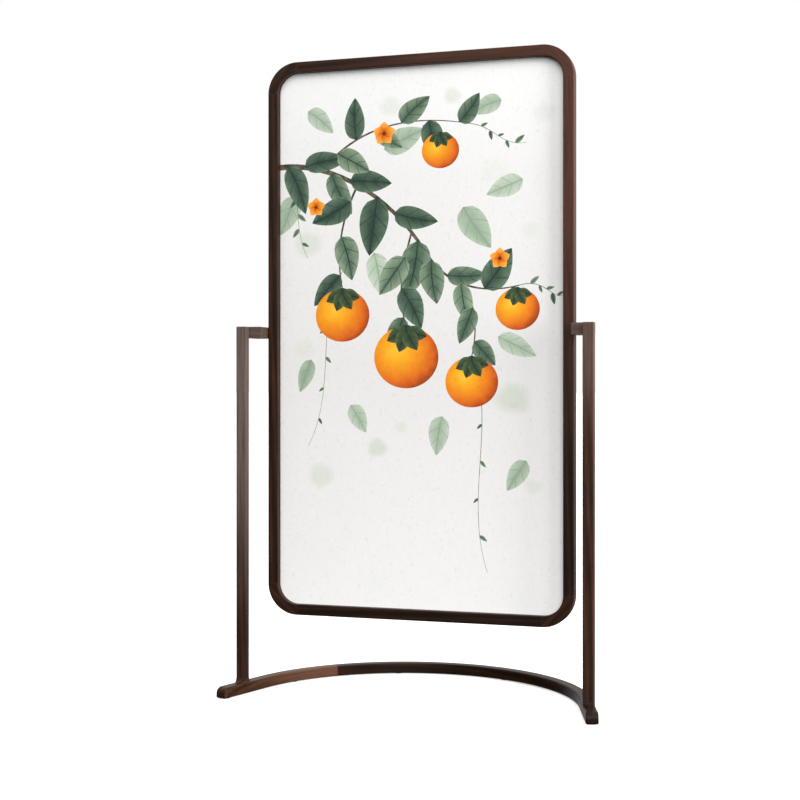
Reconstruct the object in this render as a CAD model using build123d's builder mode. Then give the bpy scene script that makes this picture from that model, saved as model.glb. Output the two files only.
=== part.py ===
from build123d import *
import os
from math import cos, radians, sin, tan

# Free-standing partition screen: a tall round-cornered picture panel that swings on
# two pivots, held between two slim posts on a bow-shaped floor base.
# Millimetres, +Z up, front of the screen towards -Y.
# The origin is on the floor, under the middle of the base's footprint.

# Panel frame
panel_width = 890.0
panel_height = 1580.0
panel_lift = 220.0
frame_face = 30.0
frame_depth = 36.0
corner_radius = 88.0
picture_recess = 20.0
rebate_width = 8.0
edge_round = 2.5

# Picture: a board with a stretched cloth on each side, held by beads from behind
board_thickness = 3.0
cloth_thickness = 0.5
board_clearance = 0.5
cloth_margin = 0.4
bead_recess = 2.0
bead_clearance = 0.2
bead_round = 2.0
bead_pin_diameter = 1.6
bead_pin_length = 17.0
bead_pin_clearance = 0.05
brad_sink = 0.5
bead_pin_end_distance = 120.0
side_bead_pins = 4
rail_bead_pins = 3

# Loose tenons that join the frame's rails, stiles and corners
tenon_length = 36.0
tenon_width = 12.0
tenon_thickness = 8.0
tenon_clearance = 0.1
tenon_end_clearance = 0.5

# Posts and arms
post_width = 30.0
post_depth = 24.0
post_gap = 37.0
post_forward = 80.0
post_round = 2.5
arm_height = 32.0
arm_tail = 15.0
arm_set_in = 17.0
arm_taper_run = 50.0
arm_dowel_diameter = 8.0
arm_dowel_spacing = 14.0
arm_dowel_in_post = 16.0
arm_dowel_in_arm = 24.0

# Pivots
pivot_rise = 17.0
pin_diameter = 10.0
pin_running_clearance = 0.05
pin_seat_clearance = 0.05
pin_end_clearance = 2.0
bush_diameter = 16.0
bush_floor = 2.0
bush_seat_clearance = 0.05
pin_head_diameter = 16.0
pin_head_height = 6.0
cap_diameter = 20.0
cap_inset = 3.0
cap_proud = 2.0
cap_round = 1.5
cap_clearance = 0.1
side_washer_diameter = 22.0
side_washer_thickness = 1.6
side_washer_clearance = 0.2
side_play = 0.4

# Base
bar_width = 34.0
bar_height = 30.0
bar_round = 4.0
pad_thickness = 2.0
flare_angle = 16.0
flare_run = 94.0
foot_reach = 92.0
tip_over_round = 18.0
bow_joint_angle = 47.0
seat_height = 12.0
pad_diameter = 22.0
pad_setback = 24.0
foot_pad_angle = 30.0
bow_pad_angle = 70.0

# Hardware between the base segments
stud_diameter = 6.0
stud_overhang = 5.0
stud_clearance = 0.2
barrel_diameter = 10.0
barrel_height = 14.0
barrel_distance = 20.0
barrel_clearance = 0.1
base_dowel_diameter = 8.0
base_dowel_length = 40.0
base_dowel_offset = 10.0
dowel_clearance = 0.05
dowel_end_clearance = 0.5

# Hardware between each post and its foot
bolt_diameter = 8.0
bolt_head_diameter = 13.0
bolt_head_height = 8.0
bolt_head_inset = 1.4
bolt_washer_diameter = 18.0
bolt_washer_thickness = 1.6
bolt_clearance = 0.2
bolt_end_clearance = 2.0
insert_diameter = 12.0
insert_length = 22.0
insert_clearance = 0.05
thread_clearance = 0.05
post_dowel_diameter = 5.0
post_dowel_length = 20.0
post_dowel_side_offset = 9.0
post_dowel_front_offset = 6.0

# Positions that follow from the sizes above
flare_slope = tan(radians(flare_angle))
post_x = panel_width / 2 + post_gap + post_width / 2
tangent_x = post_x - flare_run * flare_slope
bow_radius = tangent_x / cos(radians(flare_angle))
outer_radius = bow_radius + bar_width / 2
inner_radius = bow_radius - bar_width / 2

# Depth positions are first taken from the panel's middle plane
bow_centre_from_panel = flare_run - post_forward - bow_radius * sin(radians(flare_angle))
base_rear_from_panel = bow_centre_from_panel + outer_radius
tip_from_panel = -post_forward - foot_reach
base_front_from_panel = (
    tip_from_panel
    - sin(radians(flare_angle)) * (bar_width / 2 - bar_round)
    + cos(radians(flare_angle)) * bar_round
    - bar_round
)
panel_y = -(base_front_from_panel + base_rear_from_panel) / 2
bow_y = panel_y + bow_centre_from_panel
post_y = panel_y - post_forward
post_front = post_y - post_depth / 2
post_rear = post_y + post_depth / 2

base_top = pad_thickness + bar_height
base_middle = pad_thickness + bar_height / 2
post_foot = base_top + seat_height
panel_bottom = panel_lift
panel_top = panel_lift + panel_height
pivot_z = panel_lift + panel_height / 2 + pivot_rise
arm_bottom = pivot_z - arm_height / 2
arm_top = pivot_z + arm_height / 2

post_inner = post_x - post_width / 2
post_outer = post_x + post_width / 2
arm_inner = panel_width / 2 + side_play + side_washer_thickness
arm_outer = post_outer - arm_set_in
arm_rear = panel_y + arm_tail
pin_head_seat = arm_outer - cap_inset - pin_head_height
bush_length = frame_face - rebate_width - bush_floor
pin_end = panel_width / 2 - bush_length + pin_end_clearance

frame_front = panel_y - frame_depth / 2
corner_x = panel_width / 2 - corner_radius
corner_top = panel_top - corner_radius
corner_bottom = panel_bottom + corner_radius
cloth_front = frame_front + picture_recess
board_front = cloth_front + cloth_thickness
rear_cloth_front = board_front + board_thickness
bead_front = rear_cloth_front + cloth_thickness
bead_depth = frame_front + frame_depth - bead_recess - bead_front
bead_outer_inset = frame_face - rebate_width + bead_clearance
bead_width = rebate_width - bead_clearance


def ring_point(radius, angle):
    """Point of the base's plan at a radius and an angle about the bow's centre."""
    return (radius * cos(radians(angle)), bow_y + radius * sin(radians(angle)))


def frame_section(plane):
    """Section of the frame, seen along a member: x inwards, y backwards."""
    with BuildSketch(plane) as section:
        with BuildLine():
            Polyline(
                (0, 0),
                (frame_face, 0),
                (frame_face, picture_recess),
                (frame_face - rebate_width, picture_recess),
                (frame_face - rebate_width, frame_depth),
                (0, frame_depth),
                close=True,
            )
        make_face()
        front_corners = section.vertices().group_by(Axis.Y)[0]
        rear_corner = section.vertices().group_by(Axis.Y)[-1].sort_by(Axis.X)[0]
        fillet([*front_corners, rear_corner], edge_round)
    return section.sketch


def bead_section(plane):
    """Section of a bead, in the same directions as the frame's section."""
    with BuildSketch(plane) as section:
        with Locations((bead_outer_inset, bead_front - frame_front)):
            Rectangle(bead_width, bead_depth, align=(Align.MIN, Align.MIN))
        rear_corners = section.vertices().group_by(Axis.Y)[-1]
        fillet(rear_corners.sort_by(Axis.X)[-1], bead_round)
    return section.sketch


def member_plane(x, z, inwards):
    """Section plane at a point of the panel's outline, with its x pointing inwards."""
    along = Vector(*inwards).cross(Vector(0, 1, 0))
    return Plane((x, frame_front, z), x_dir=inwards, z_dir=along)


# Section planes where the straight members start
left_plane = member_plane(-panel_width / 2, corner_bottom, (1, 0, 0))
bottom_plane = member_plane(corner_x, panel_bottom, (0, 0, 1))
top_plane = member_plane(-corner_x, panel_top, (0, 0, -1))
stile_length = corner_top - corner_bottom
rail_length = 2 * corner_x

# Loose tenons sit in the middle of the frame's solid section, across each joint
tenon_inset = (frame_face - rebate_width) / 2
tenon_y = frame_front + frame_depth / 2
tenon_planes = [
    Plane((side * (panel_width / 2 - tenon_inset), tenon_y, level), x_dir=(1, 0, 0), z_dir=(0, 0, 1))
    for side in (-1, 1)
    for level in (corner_bottom, corner_top)
] + [
    Plane((side * corner_x, tenon_y, level), x_dir=(0, 0, 1), z_dir=(1, 0, 0))
    for side in (-1, 1)
    for level in (panel_bottom + tenon_inset, panel_top - tenon_inset)
]


def tenon_bodies(clearance, end_clearance):
    """All loose tenons, or their mortises when clearances are given."""
    half = tenon_length / 2 + end_clearance
    with BuildPart() as bodies:
        for plane in tenon_planes:
            with BuildSketch(plane.offset(-half)):
                SlotOverall(tenon_width + 2 * clearance, tenon_thickness + 2 * clearance)
            extrude(amount=2 * half)
    return bodies.part


mortises = tenon_bodies(tenon_clearance, tenon_end_clearance)


def even_places(middle, length, count):
    """Even positions along a straight bead, kept clear of its ends."""
    span = length - 2 * bead_pin_end_distance
    return [middle - span / 2 + span * i / (count - 1) for i in range(count)]


# Brads go through the beads into the rebate wall, from the picture's side outwards
brad_y = bead_front + bead_depth / 2
brad_inset = frame_face - brad_sink - bead_pin_length / 2
panel_middle = (panel_bottom + panel_top) / 2
brad_planes = [
    Plane((side * (panel_width / 2 - brad_inset), brad_y, level), z_dir=(side, 0, 0))
    for side in (-1, 1)
    for level in even_places(panel_middle, stile_length, side_bead_pins)
] + [
    Plane((place, brad_y, panel_middle + side * (panel_height / 2 - brad_inset)), z_dir=(0, 0, side))
    for side in (-1, 1)
    for place in even_places(0, rail_length, rail_bead_pins)
]


def brads(clearance, extra_length):
    """The brads, or their holes when a clearance and an extra length are given."""
    with BuildPart() as pins:
        with Locations(*brad_planes):
            Cylinder(bead_pin_diameter / 2 + clearance, bead_pin_length + 2 * extra_length)
    return pins.part


brad_holes = brads(bead_pin_clearance, brad_sink)

# Frame members: the stiles take the pivot bushes, the rails close the rectangle
with BuildPart() as left_stile:
    add(frame_section(left_plane))
    extrude(amount=stile_length, dir=left_plane.z_dir)
    add(mortises, mode=Mode.SUBTRACT)
    add(brad_holes, mode=Mode.SUBTRACT)
    with Locations(Plane((-panel_width / 2, panel_y, pivot_z), z_dir=(-1, 0, 0))):
        Hole(bush_diameter / 2 + bush_seat_clearance, bush_length)

with BuildPart() as right_stile:
    mirror(left_stile.part, about=Plane.YZ)

with BuildPart() as top_rail:
    add(frame_section(top_plane))
    extrude(amount=rail_length, dir=top_plane.z_dir)
    add(mortises, mode=Mode.SUBTRACT)
    add(brad_holes, mode=Mode.SUBTRACT)

with BuildPart() as bottom_rail:
    add(frame_section(bottom_plane))
    extrude(amount=rail_length, dir=bottom_plane.z_dir)
    add(mortises, mode=Mode.SUBTRACT)
    add(brad_holes, mode=Mode.SUBTRACT)

# Corners: the same section turned a quarter about the corner's centre
with BuildPart() as corner_bottom_left:
    add(frame_section(left_plane))
    revolve(axis=Axis((-corner_x, 0, corner_bottom), (0, -1, 0)), revolution_arc=90)
    add(mortises, mode=Mode.SUBTRACT)

with BuildPart() as corner_top_left:
    add(frame_section(top_plane))
    revolve(axis=Axis((-corner_x, 0, corner_top), (0, -1, 0)), revolution_arc=90)
    add(mortises, mode=Mode.SUBTRACT)

with BuildPart() as corner_bottom_right:
    mirror(corner_bottom_left.part, about=Plane.YZ)

with BuildPart() as corner_top_right:
    mirror(corner_top_left.part, about=Plane.YZ)

with BuildPart() as frame_tenons:
    add(tenon_bodies(0, 0))

# Picture: the board lies in the rebate between its two stretched cloths
board_inset = frame_face - rebate_width + board_clearance
cloth_inset = board_inset + cloth_margin


def picture_sheet(inset, front, thickness):
    """Upright round-cornered sheet, smaller than the panel by an inset all round."""
    with BuildPart() as sheet:
        with BuildSketch(Plane((0, front, panel_middle), x_dir=(-1, 0, 0), z_dir=(0, 1, 0))):
            RectangleRounded(panel_width - 2 * inset, panel_height - 2 * inset, corner_radius - inset)
        extrude(amount=thickness)
    return sheet.part


with BuildPart() as picture_board:
    add(picture_sheet(board_inset, board_front, board_thickness))

with BuildPart() as front_cloth:
    add(picture_sheet(cloth_inset, cloth_front, cloth_thickness))

with BuildPart() as rear_cloth:
    add(picture_sheet(cloth_inset, rear_cloth_front, cloth_thickness))

# Beads behind the picture
with BuildPart() as bead_left:
    add(bead_section(left_plane))
    extrude(amount=stile_length, dir=left_plane.z_dir)
    add(brad_holes, mode=Mode.SUBTRACT)

with BuildPart() as bead_right:
    mirror(bead_left.part, about=Plane.YZ)

with BuildPart() as bead_top:
    add(bead_section(top_plane))
    extrude(amount=rail_length, dir=top_plane.z_dir)
    add(brad_holes, mode=Mode.SUBTRACT)

with BuildPart() as bead_bottom:
    add(bead_section(bottom_plane))
    extrude(amount=rail_length, dir=bottom_plane.z_dir)
    add(brad_holes, mode=Mode.SUBTRACT)

with BuildPart() as bead_corners:
    add(bead_section(left_plane))
    revolve(axis=Axis((-corner_x, 0, corner_bottom), (0, -1, 0)), revolution_arc=90)
    add(bead_section(top_plane))
    revolve(axis=Axis((-corner_x, 0, corner_top), (0, -1, 0)), revolution_arc=90)
    mirror(about=Plane.YZ)

with BuildPart() as bead_pins:
    add(brads(0, 0))

# Pivots: a headed pin passes through each arm into a bush in the stile
with BuildPart() as right_pivot_pin:
    with BuildSketch(Plane((pin_end, panel_y, pivot_z), z_dir=(1, 0, 0))):
        Circle(pin_diameter / 2)
    extrude(amount=pin_head_seat - pin_end)
    with BuildSketch(Plane((pin_head_seat, panel_y, pivot_z), z_dir=(1, 0, 0))):
        Circle(pin_head_diameter / 2)
    extrude(amount=pin_head_height)

with BuildPart() as left_pivot_pin:
    mirror(right_pivot_pin.part, about=Plane.YZ)

with BuildPart() as pivot_bushes:
    with BuildSketch(Plane((panel_width / 2 - bush_length, panel_y, pivot_z), z_dir=(1, 0, 0))):
        Circle(bush_diameter / 2)
        Circle(pin_diameter / 2 + pin_running_clearance, mode=Mode.SUBTRACT)
    extrude(amount=bush_length)
    mirror(about=Plane.YZ)

with BuildPart() as side_washers:
    with BuildSketch(Plane((arm_inner - side_washer_thickness, panel_y, pivot_z), z_dir=(1, 0, 0))):
        Circle(side_washer_diameter / 2)
        Circle(pin_diameter / 2 + side_washer_clearance, mode=Mode.SUBTRACT)
    extrude(amount=side_washer_thickness)
    mirror(about=Plane.YZ)

with BuildPart() as pivot_caps:
    with BuildSketch(Plane((arm_outer - cap_inset, panel_y, pivot_z), z_dir=(1, 0, 0))):
        Circle(cap_diameter / 2 - cap_clearance)
    extrude(amount=cap_inset + cap_proud)
    fillet(edges().group_by(Axis.X)[-1], cap_round)
    mirror(about=Plane.YZ)

# Arms: blocks on the back of the posts, flush with their tops, that narrow behind them
arm_dowel_points = [
    (post_x, post_rear, pivot_z + step * arm_dowel_spacing / 2) for step in (-1, 1)
]

with BuildPart() as right_arm:
    with BuildSketch(Plane.XY.offset(arm_bottom)):
        with BuildLine():
            Polyline(
                (arm_inner, post_rear),
                (post_outer, post_rear),
                (arm_outer, post_rear + arm_taper_run),
                (arm_outer, arm_rear),
                (arm_inner, arm_rear),
                close=True,
            )
        make_face()
    extrude(amount=arm_height)
    fillet(edges().group_by(Axis.Y)[1:], post_round)
    with Locations(Plane((arm_outer, panel_y, pivot_z), z_dir=(1, 0, 0))):
        CounterBoreHole(
            pin_diameter / 2 + pin_seat_clearance,
            cap_diameter / 2,
            cap_inset + pin_head_height,
        )
    with Locations([Plane(point, z_dir=(0, -1, 0)) for point in arm_dowel_points]):
        Hole(arm_dowel_diameter / 2 + dowel_clearance, arm_dowel_in_arm + dowel_end_clearance)

with BuildPart() as left_arm:
    mirror(right_arm.part, about=Plane.YZ)

with BuildPart() as arm_dowels:
    for point in arm_dowel_points:
        with BuildSketch(Plane(point, z_dir=(0, 1, 0)).offset(-arm_dowel_in_post)):
            Circle(arm_dowel_diameter / 2)
        extrude(amount=arm_dowel_in_post + arm_dowel_in_arm)
    mirror(about=Plane.YZ)

# Posts: each stands on its foot's raised seat, with a bolt and a locating dowel
bolt_head_top = pad_thickness + bolt_head_inset + bolt_head_height
bolt_seat = bolt_head_top + bolt_washer_thickness
post_dowel_x = post_x - post_dowel_side_offset
post_dowel_y = post_y - post_dowel_front_offset

with BuildPart() as right_post:
    with BuildSketch(Plane.XY.offset(post_foot)):
        with Locations((post_x, post_y)):
            Rectangle(post_width, post_depth)
    extrude(amount=arm_top - post_foot)
    fillet(edges().group_by(Axis.Z)[1:], post_round)
    with Locations(Plane((post_x, post_y, post_foot), z_dir=(0, 0, -1))):
        Hole(insert_diameter / 2 + insert_clearance, insert_length)
    with Locations(Plane((post_dowel_x, post_dowel_y, post_foot), z_dir=(0, 0, -1))):
        Hole(post_dowel_diameter / 2 + dowel_clearance, post_dowel_length / 2 + dowel_end_clearance)
    with Locations([Plane(point, z_dir=(0, 1, 0)) for point in arm_dowel_points]):
        Hole(arm_dowel_diameter / 2 + dowel_clearance, arm_dowel_in_post + dowel_end_clearance)

with BuildPart() as left_post:
    mirror(right_post.part, about=Plane.YZ)

with BuildPart() as post_dowels:
    with BuildSketch(Plane.XY.offset(post_foot - post_dowel_length / 2)):
        with Locations((post_dowel_x, post_dowel_y)):
            Circle(post_dowel_diameter / 2)
    extrude(amount=post_dowel_length)
    mirror(about=Plane.YZ)

with BuildPart() as post_bolts:
    with BuildSketch(Plane.XY.offset(bolt_head_top - bolt_head_height)):
        with Locations((post_x, post_y)):
            Circle(bolt_head_diameter / 2)
    extrude(amount=bolt_head_height)
    with BuildSketch(Plane.XY.offset(bolt_head_top)):
        with Locations((post_x, post_y)):
            Circle(bolt_diameter / 2)
    extrude(amount=post_foot + insert_length - bolt_end_clearance - bolt_head_top)
    mirror(about=Plane.YZ)

with BuildPart() as post_washers:
    with BuildSketch(Plane.XY.offset(bolt_head_top)):
        with Locations((post_x, post_y)):
            Circle(bolt_washer_diameter / 2)
            Circle(bolt_diameter / 2 + bolt_clearance, mode=Mode.SUBTRACT)
    extrude(amount=bolt_washer_thickness)
    mirror(about=Plane.YZ)

with BuildPart() as post_inserts:
    with BuildSketch(Plane.XY.offset(post_foot)):
        with Locations((post_x, post_y)):
            Circle(insert_diameter / 2)
            Circle(bolt_diameter / 2 + thread_clearance, mode=Mode.SUBTRACT)
    extrude(amount=insert_length)
    mirror(about=Plane.YZ)

# Base: a bow and two feet. Each foot starts on the bow's circle, leaves it on a
# straight tangent and runs forward under its post.
joint_x, joint_y = ring_point(bow_radius, bow_joint_angle)
joint_radial = (cos(radians(bow_joint_angle)), sin(radians(bow_joint_angle)), 0)
joint_tangent = (-joint_radial[1], joint_radial[0], 0)
joint_plane = Plane((joint_x, joint_y, base_middle), x_dir=joint_radial, z_dir=joint_tangent)
foot_direction = (sin(radians(flare_angle)), -cos(radians(flare_angle)))
across_foot = (cos(radians(flare_angle)), sin(radians(flare_angle)), 0)
foot_straight = (flare_run + foot_reach) / cos(radians(flare_angle))
stud_length = 2 * (barrel_distance + barrel_diameter / 2 + stud_overhang)


def foot_end(radius, setback=0.0):
    """Point on the straight part of the foot, a setback short of its end."""
    start_x, start_y = ring_point(radius, flare_angle)
    run = foot_straight - setback
    return (start_x + foot_direction[0] * run, start_y + foot_direction[1] * run)


def across_joint(diameter, length, offset):
    """Round bar across the right-hand joint of the base, centred on the joint."""
    with BuildPart() as bar:
        with BuildSketch(joint_plane.offset(-length / 2)):
            with Locations((offset, 0)):
                Circle(diameter / 2)
        extrude(amount=length)
    return bar.part


def barrels(diameter, bottom, top):
    """Upright cylinders on the two sides of the right-hand joint of the base."""
    with BuildPart() as pair:
        with BuildSketch(Plane.XY.offset(bottom)):
            for step in (-barrel_distance, barrel_distance):
                with Locations((joint_x + step * joint_tangent[0], joint_y + step * joint_tangent[1])):
                    Circle(diameter / 2)
        extrude(amount=top - bottom)
    return pair.part


barrel_bottom = base_middle - barrel_height / 2
barrel_top = base_middle + barrel_height / 2
dowel_bore = base_dowel_diameter + 2 * dowel_clearance
dowel_bore_length = base_dowel_length + 2 * dowel_end_clearance
joint_bores = [
    across_joint(stud_diameter + 2 * stud_clearance, stud_length + 2 * dowel_end_clearance, 0),
    across_joint(dowel_bore, dowel_bore_length, base_dowel_offset),
    across_joint(dowel_bore, dowel_bore_length, -base_dowel_offset),
    barrels(barrel_diameter + 2 * barrel_clearance, pad_thickness, barrel_top),
]

with BuildPart() as base_bow:
    with BuildSketch(Plane.XY.offset(pad_thickness)):
        with BuildLine():
            far_angle = 180 - bow_joint_angle
            CenterArc((0, bow_y), outer_radius, bow_joint_angle, far_angle - bow_joint_angle)
            Line(ring_point(outer_radius, far_angle), ring_point(inner_radius, far_angle))
            CenterArc((0, bow_y), inner_radius, bow_joint_angle, far_angle - bow_joint_angle)
            Line(ring_point(inner_radius, bow_joint_angle), ring_point(outer_radius, bow_joint_angle))
        make_face()
    extrude(amount=bar_height)
    fillet(edges().filter_by(GeomType.CIRCLE), bar_round)
    for cut in joint_bores:
        add(cut, mode=Mode.SUBTRACT)
        add(cut.mirror(Plane.YZ), mode=Mode.SUBTRACT)

# The raised seat under each post runs out into the foot through a cove in front and behind
with BuildSketch(Plane.YZ.offset(post_inner)) as seat_profile:
    with BuildLine():
        Line((post_front, post_foot), (post_rear, post_foot))
        CenterArc((post_rear + seat_height, post_foot), seat_height, 180, 90)
        Polyline(
            (post_rear + seat_height, base_top),
            (post_rear + seat_height, base_middle),
            (post_front - seat_height, base_middle),
            (post_front - seat_height, base_top),
        )
        CenterArc((post_front - seat_height, post_foot), seat_height, 270, 90)
    make_face()

# What the rounding-over takes off the top of a foot's tip, seen from the foot's side
tip_plane = Plane(
    (*foot_end(bow_radius), base_top - tip_over_round),
    x_dir=(*foot_direction, 0),
    z_dir=-Vector(*across_foot),
)

with BuildPart() as tip_waste:
    with BuildSketch(tip_plane):
        with BuildLine():
            CenterArc((-tip_over_round, 0), tip_over_round, 0, 90)
            Polyline(
                (-tip_over_round, tip_over_round),
                (-tip_over_round, 2 * tip_over_round),
                (tip_over_round, 2 * tip_over_round),
                (tip_over_round, 0),
                (0, 0),
            )
        make_face()
    extrude(amount=bar_width, both=True)

with BuildPart() as right_foot:
    with BuildSketch(Plane.XY.offset(pad_thickness)) as foot_plan:
        with BuildLine():
            CenterArc((0, bow_y), outer_radius, flare_angle, bow_joint_angle - flare_angle)
            Line(ring_point(outer_radius, bow_joint_angle), ring_point(inner_radius, bow_joint_angle))
            CenterArc((0, bow_y), inner_radius, flare_angle, bow_joint_angle - flare_angle)
            Polyline(
                ring_point(inner_radius, flare_angle),
                foot_end(inner_radius),
                foot_end(outer_radius),
                ring_point(outer_radius, flare_angle),
            )
        make_face()
    extrude(amount=bar_height)
    add(tip_waste.part, mode=Mode.SUBTRACT)
    joint_face = faces().sort_by_distance(joint_plane.origin)[0]
    smooth_upright_edges = edges().filter_by(Axis.Z).sort_by(Axis.Y)[2:]
    smooth_cross_edges = edges().filter_by(Axis((0, 0, 0), across_foot)).sort_by(Axis.Z)[1:]
    sharp_edges = edges() - smooth_upright_edges - smooth_cross_edges - joint_face.edges()
    fillet(sharp_edges, bar_round)
    column = extrude(foot_plan.sketch, amount=bar_height + seat_height, mode=Mode.PRIVATE)
    seat = extrude(seat_profile.sketch, amount=post_width, mode=Mode.PRIVATE)
    add(seat & column)
    for cut in joint_bores:
        add(cut, mode=Mode.SUBTRACT)
    with Locations(Plane((post_x, post_y, pad_thickness), z_dir=(0, 0, -1))):
        CounterBoreHole(
            bolt_diameter / 2 + bolt_clearance,
            bolt_washer_diameter / 2 + bolt_clearance,
            bolt_seat - pad_thickness,
        )
    with Locations((post_dowel_x, post_dowel_y, post_foot)):
        Hole(post_dowel_diameter / 2 + dowel_clearance, post_dowel_length / 2 + dowel_end_clearance)

with BuildPart() as left_foot:
    mirror(right_foot.part, about=Plane.YZ)

with BuildPart() as base_dowels:
    add(across_joint(base_dowel_diameter, base_dowel_length, base_dowel_offset))
    add(across_joint(base_dowel_diameter, base_dowel_length, -base_dowel_offset))
    mirror(about=Plane.YZ)

with BuildPart() as base_studs:
    add(across_joint(stud_diameter, stud_length, 0))
    mirror(about=Plane.YZ)

with BuildPart() as barrel_nuts:
    add(barrels(barrel_diameter, barrel_bottom, barrel_top))
    add(across_joint(stud_diameter + 2 * thread_clearance, stud_length, 0), mode=Mode.SUBTRACT)
    mirror(about=Plane.YZ)

# Pads keep the wood off the floor: two under each foot and two under the bow
pad_points = [
    foot_end(bow_radius, pad_setback),
    ring_point(bow_radius, foot_pad_angle),
    ring_point(bow_radius, bow_pad_angle),
]

with BuildPart() as floor_pads:
    with BuildSketch():
        with Locations(*pad_points):
            Circle(pad_diameter / 2)
    extrude(amount=pad_thickness)
    mirror(about=Plane.YZ)

# Labels and export
pieces = {
    "left_stile": left_stile,
    "right_stile": right_stile,
    "top_rail": top_rail,
    "bottom_rail": bottom_rail,
    "corner_top_left": corner_top_left,
    "corner_top_right": corner_top_right,
    "corner_bottom_left": corner_bottom_left,
    "corner_bottom_right": corner_bottom_right,
    "frame_tenons": frame_tenons,
    "picture_board": picture_board,
    "front_cloth": front_cloth,
    "rear_cloth": rear_cloth,
    "bead_left": bead_left,
    "bead_right": bead_right,
    "bead_top": bead_top,
    "bead_bottom": bead_bottom,
    "bead_corners": bead_corners,
    "bead_pins": bead_pins,
    "pivot_bushes": pivot_bushes,
    "left_post": left_post,
    "right_post": right_post,
    "left_arm": left_arm,
    "right_arm": right_arm,
    "arm_dowels": arm_dowels,
    "left_pivot_pin": left_pivot_pin,
    "right_pivot_pin": right_pivot_pin,
    "pivot_caps": pivot_caps,
    "side_washers": side_washers,
    "left_foot": left_foot,
    "right_foot": right_foot,
    "base_bow": base_bow,
    "base_dowels": base_dowels,
    "base_studs": base_studs,
    "barrel_nuts": barrel_nuts,
    "post_bolts": post_bolts,
    "post_washers": post_washers,
    "post_inserts": post_inserts,
    "post_dowels": post_dowels,
    "floor_pads": floor_pads,
}

os.makedirs("parts", exist_ok=True)
for name, piece in pieces.items():
    piece.part.label = name
    export_step(piece.part, f"parts/{name}.step")
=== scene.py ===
"""Looks of the partition screen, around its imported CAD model."""

import random
from math import atan2, cos, pi, radians, sin

import bmesh
import bpy
from mathutils import Euler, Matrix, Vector
from mathutils.geometry import delaunay_2d_cdt, interpolate_bezier


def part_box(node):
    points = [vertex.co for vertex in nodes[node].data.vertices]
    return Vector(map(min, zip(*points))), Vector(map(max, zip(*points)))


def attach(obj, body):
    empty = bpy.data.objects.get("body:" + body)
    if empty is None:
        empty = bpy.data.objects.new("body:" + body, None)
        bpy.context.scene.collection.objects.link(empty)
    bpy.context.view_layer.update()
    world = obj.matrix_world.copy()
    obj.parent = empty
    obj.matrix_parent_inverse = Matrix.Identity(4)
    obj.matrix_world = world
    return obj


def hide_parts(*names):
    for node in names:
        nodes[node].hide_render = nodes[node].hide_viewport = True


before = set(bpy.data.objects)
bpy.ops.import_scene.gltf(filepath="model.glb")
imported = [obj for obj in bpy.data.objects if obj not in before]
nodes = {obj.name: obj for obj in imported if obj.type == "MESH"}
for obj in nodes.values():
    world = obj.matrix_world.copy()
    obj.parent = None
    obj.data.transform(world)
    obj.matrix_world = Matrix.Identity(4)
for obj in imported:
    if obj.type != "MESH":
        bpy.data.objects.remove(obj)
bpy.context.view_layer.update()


# The floor base: a flat bow of stained walnut behind the panel, dowelled and bolted to two feet
# that flare forward under the posts. The segments are sawn and shaped from bent laminations, so
# the grain follows the curve. The left foot's paler tones are painted light from the lamp on the right.

def linear(colour):
    """The linear RGBA of an sRGB hex colour such as #3A2418."""
    parts = [int(colour[i:i + 2], 16) / 255 for i in (1, 3, 5)]
    return (*[p / 12.92 if p <= 0.04045 else ((p + 0.055) / 1.055) ** 2.4 for p in parts], 1)


def add(tree, kind, inputs, stops=(), **settings):
    """Adds a shader node: inputs are values or sockets by name or number, stops are a ramp's."""
    node = tree.nodes.new("ShaderNode" + kind)
    for name, value in settings.items():
        setattr(node, name, value)
    for name, value in inputs.items():
        if isinstance(value, bpy.types.NodeSocket):
            tree.links.new(value, node.inputs[name])
        else:
            node.inputs[name].default_value = value
    for i, (place, colour) in enumerate(stops):
        knots = node.color_ramp.elements
        knot = knots[i] if i < len(knots) else knots.new(place)
        knot.position = place
        knot.color = linear(colour)
    return node


def new_material(name):
    """An empty material, its tree and its shader, to be given a colour, roughness and bump."""
    material = bpy.data.materials.new(name)
    material.use_nodes = True
    tree = material.node_tree
    shader = tree.nodes["Principled BSDF"]
    return material, tree, shader


def finish_with(material, *names):
    """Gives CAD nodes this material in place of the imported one."""
    for name in names:
        nodes[name].data.materials.clear()
        nodes[name].data.materials.append(material)


# Dark-stained walnut under satin lacquer: planed and sanded, so the eye gets long fine streaks,
# thin dark pores and a soft sheen. Pores are really 0.3 mm wide and are drawn 1 mm wide to show.
streak_width = 0.006
ring_spacing = 0.024
blotch_width = 0.143
pore_width = 0.001
grain_stretch = 26
ring_share = 0.36
blotch_share = 0.3
pore_shade = 0.55
lit_share = 0.85
end_shade = 0.8
worn_edge = 0.003
wear = 0.45
lacquer_level = 0.13
satin_roughness = (0.36, 0.48)
width_axis = 0
height_axis = 2

# The base's grain follows the centre line of its curve in plan, and its two ends face outwards.
bow_radius = 0.488989
bow_centre = (0, -0.225517, 0)
flare = radians(16)


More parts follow.
